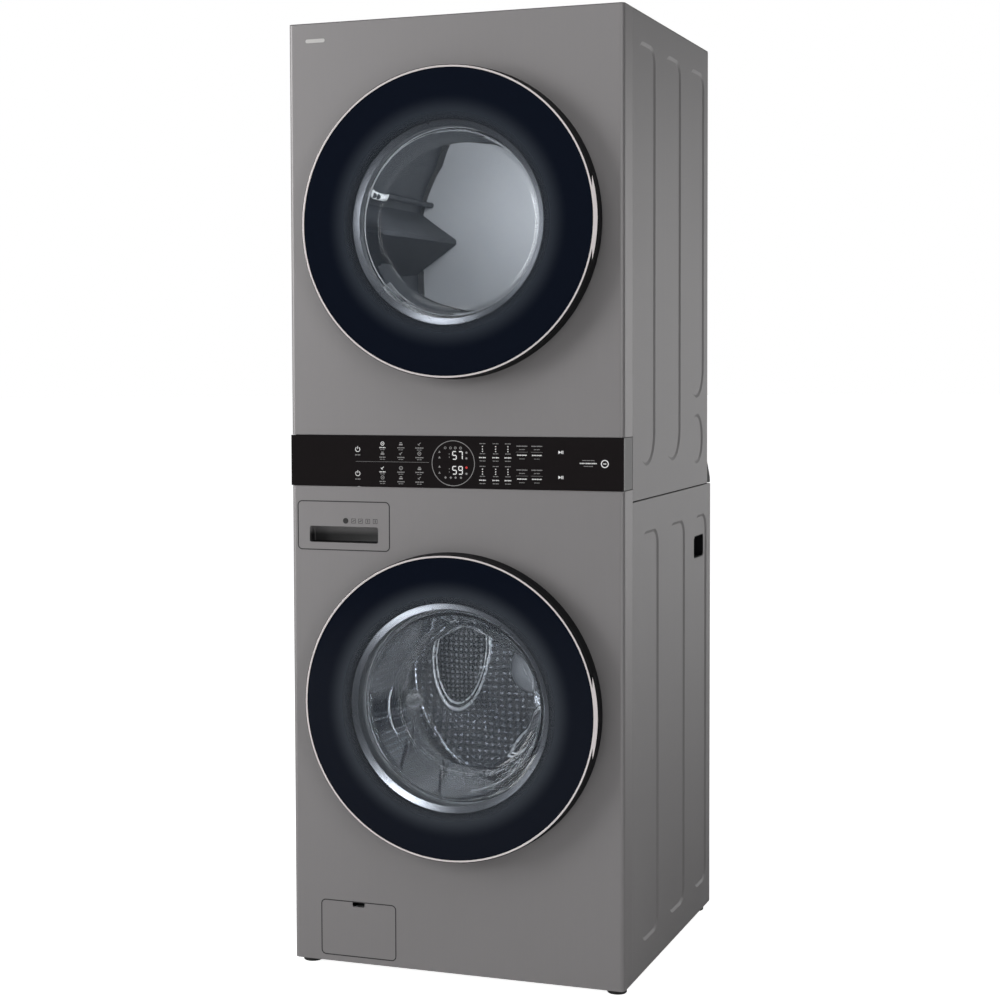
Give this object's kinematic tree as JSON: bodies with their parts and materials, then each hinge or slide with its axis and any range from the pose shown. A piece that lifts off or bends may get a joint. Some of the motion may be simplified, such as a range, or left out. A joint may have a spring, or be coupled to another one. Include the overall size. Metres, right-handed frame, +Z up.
{
  "type": "washer dryer stack",
  "caption": "Stacked laundry tower: front-loading washer below a tumble dryer, round glass doors, a control band at the waist, a detergent drawer and a drain cover.",
  "frame": {"origin": "on the floor under the middle of the tower's footprint, door rims and rear spouts included", "axes": "+X right seen from the front, +Y to the rear, +Z up"},
  "size_m": [0.69, 0.77, 1.89],
  "materials": {
    "painted_steel": "satin graphite steel",
    "galvanised": "zinc coated sheet",
    "stainless": "bright stainless",
    "rim_metal": "polished, warm tint",
    "door_glass": "dark tempered glass",
    "bowl_glass": "clear tempered glass",
    "fascia_glass": "gloss black tempered glass",
    "black_plastic": "fine texture",
    "grey_plastic": "fine texture",
    "white_plastic": "smooth",
    "tub_plastic": "filled polypropylene",
    "gasket_rubber": "moulded rubber",
    "foot_rubber": "moulded rubber",
    "motor_parts": "laminated core",
    "cast_weight": "cast block",
    "bearing_steel": "ground steel",
    "belt_rubber": "ribbed belt"
  },
  "bodies": {
    "cabinet": {"base_pan": "galvanised", "washer_side_left": "painted_steel", "washer_side_right": "painted_steel", "washer_rear_panel": "galvanised", "washer_front_panel": "painted_steel", "middle_deck": "black_plastic", "dryer_side_left": "painted_steel", "dryer_side_right": "painted_steel", "dryer_rear_panel": "galvanised", "dryer_front_panel": "painted_steel", "top_panel": "painted_steel", "control_glass": "fascia_glass", "control_housing": "grey_plastic", "dispenser_housing": "white_plastic", "tub_front": "tub_plastic", "tub_rear": "tub_plastic", "door_gasket": "gasket_rubber", "motor_stator": "motor_parts", "drum_bearings": "bearing_steel", "counterweights": "cast_weight", "tub_suspension": "bearing_steel", "drain_pump": "white_plastic", "inlet_valves": "white_plastic", "door_locks": "black_plastic", "hand_hold_cups": "black_plastic", "rear_joint_cover": "black_plastic", "terminal_cover": "black_plastic", "dryer_front_bulkhead": "galvanised", "dryer_rear_bulkhead": "galvanised", "heater_housing": "galvanised", "exhaust_duct": "galvanised", "dryer_motor": "motor_parts", "drive_belt": "belt_rubber", "hinge_brackets": "galvanised"},
    "washer_door": {"washer_door_ring": "rim_metal", "washer_door_glass": "door_glass", "washer_door_frame": "black_plastic", "washer_door_bowl": "bowl_glass", "washer_door_hinge": "galvanised"},
    "dryer_door": {"dryer_door_ring": "rim_metal", "dryer_door_glass": "door_glass", "dryer_door_frame": "black_plastic", "dryer_door_bowl": "bowl_glass", "dryer_door_hinge": "galvanised"},
    "washer_drum": {"washer_drum": "stainless", "washer_lifters": "stainless", "drum_spider": "galvanised", "motor_rotor": "galvanised"},
    "dryer_drum": {"dryer_drum": "stainless", "dryer_baffles": "grey_plastic"},
    "blower_wheel": {"blower_wheel": "white_plastic"},
    "drawer": {"drawer_front": "painted_steel", "drawer_tray": "white_plastic"},
    "drain_cover": {"drain_cover": "painted_steel"},
    "pump_filter": {"pump_filter": "black_plastic"},
    "lint_filter": {"lint_filter": "white_plastic"},
    "foot_front_left": {"foot_front_left": "foot_rubber"},
    "foot_front_right": {"foot_front_right": "foot_rubber"},
    "foot_rear_left": {"foot_rear_left": "foot_rubber"},
    "foot_rear_right": {"foot_rear_right": "foot_rubber"}
  },
  "joints": [
    {"name": "washer_door_hinge", "type": "hinge", "parent": "cabinet", "child": "washer_door", "pos_m": [-0.292, -0.365, 0.5439], "axis": [0, 0, -1], "range_deg": [0, 120]},
    {"name": "dryer_door_hinge", "type": "hinge", "parent": "cabinet", "child": "dryer_door", "pos_m": [-0.292, -0.365, 1.4874], "axis": [0, 0, -1], "range_deg": [0, 120]},
    {"name": "washer_drum_spin", "type": "hinge", "parent": "cabinet", "child": "washer_drum", "pos_m": [0, 0, 0.5439], "axis": [0, 1, 0], "continuous": true},
    {"name": "dryer_drum_spin", "type": "hinge", "parent": "cabinet", "child": "dryer_drum", "pos_m": [0, 0, 1.4874], "axis": [0, 1, 0], "continuous": true},
    {"name": "blower_spin", "type": "hinge", "parent": "cabinet", "child": "blower_wheel", "pos_m": [0.178, 0, 1.055], "axis": [0, 1, 0], "continuous": true},
    {"name": "drawer_slide", "type": "slide", "parent": "cabinet", "child": "drawer", "axis": [0, -1, 0], "range_m": [0, 0.2]},
    {"name": "drain_cover_tilt", "type": "hinge", "parent": "cabinet", "child": "drain_cover", "pos_m": [-0.205, -0.345, 0.025], "axis": [1, 0, 0], "range_deg": [0, 90]},
    {"name": "pump_filter_turn", "type": "hinge", "parent": "cabinet", "child": "pump_filter", "pos_m": [-0.205, -0.325, 0.08025], "axis": [0, -1, 0], "range_deg": [0, 540]},
    {"name": "lint_filter_slide", "type": "slide", "parent": "cabinet", "child": "lint_filter", "axis": [0, 0, 1], "range_m": [0, 0.172]},
    {"name": "foot_front_left_turn", "type": "hinge", "parent": "cabinet", "child": "foot_front_left", "pos_m": [-0.321, -0.309, 0], "axis": [0, 0, 1], "continuous": true},
    {"name": "foot_front_right_turn", "type": "hinge", "parent": "cabinet", "child": "foot_front_right", "pos_m": [0.321, -0.309, 0], "axis": [0, 0, 1], "continuous": true},
    {"name": "foot_rear_left_turn", "type": "hinge", "parent": "cabinet", "child": "foot_rear_left", "pos_m": [-0.321, 0.331, 0], "axis": [0, 0, 1], "continuous": true},
    {"name": "foot_rear_right_turn", "type": "hinge", "parent": "cabinet", "child": "foot_rear_right", "pos_m": [0.321, 0.331, 0], "axis": [0, 0, 1], "continuous": true}
  ],
  "couplings": [
    {"joint": "blower_spin", "follows": "dryer_drum_spin", "ratio": 23.687}
  ]
}
